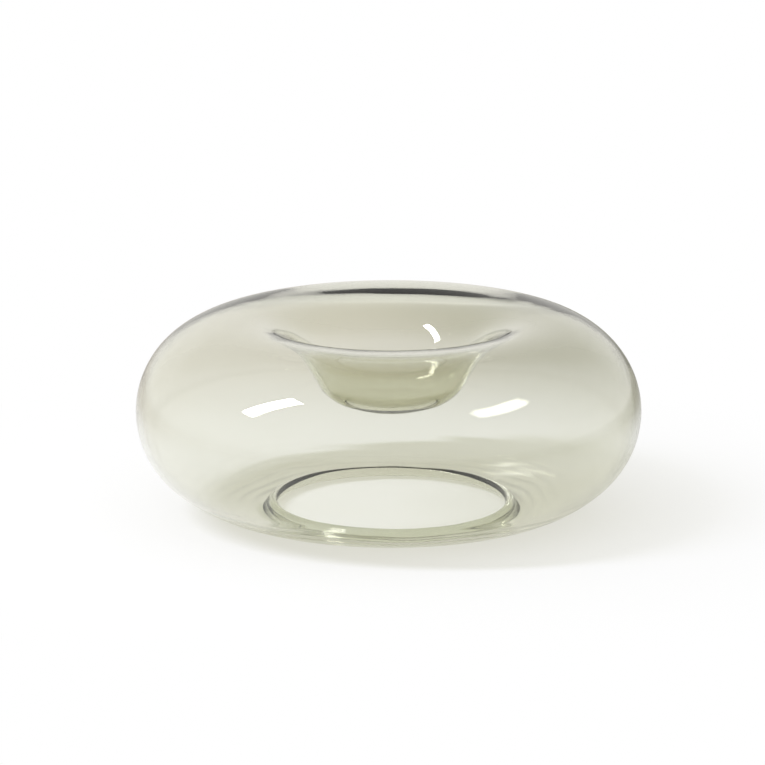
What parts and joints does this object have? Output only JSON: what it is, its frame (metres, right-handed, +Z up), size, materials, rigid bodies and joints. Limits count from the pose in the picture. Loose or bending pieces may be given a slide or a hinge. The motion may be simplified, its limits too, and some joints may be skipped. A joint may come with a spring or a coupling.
{
  "type": "floating candle bowl",
  "caption": "Ring-shaped blown glass bowl whose crest rolls into a sunk round cup for a floating candle, standing on a flat round a wide open base",
  "frame": {"origin": "middle of the base, on the table", "axes": "+Z up along the axis of the bowl; the bowl is round, so X and Y are free"},
  "size_m": [0.2, 0.2, 0.0783],
  "materials": {
    "smoke_glass": "polished clear glass with a pale smoke-green tint"
  },
  "bodies": {
    "root": {"outer_shell": "smoke_glass", "candle_cup": "smoke_glass", "base_rim": "smoke_glass"}
  },
  "joints": []
}
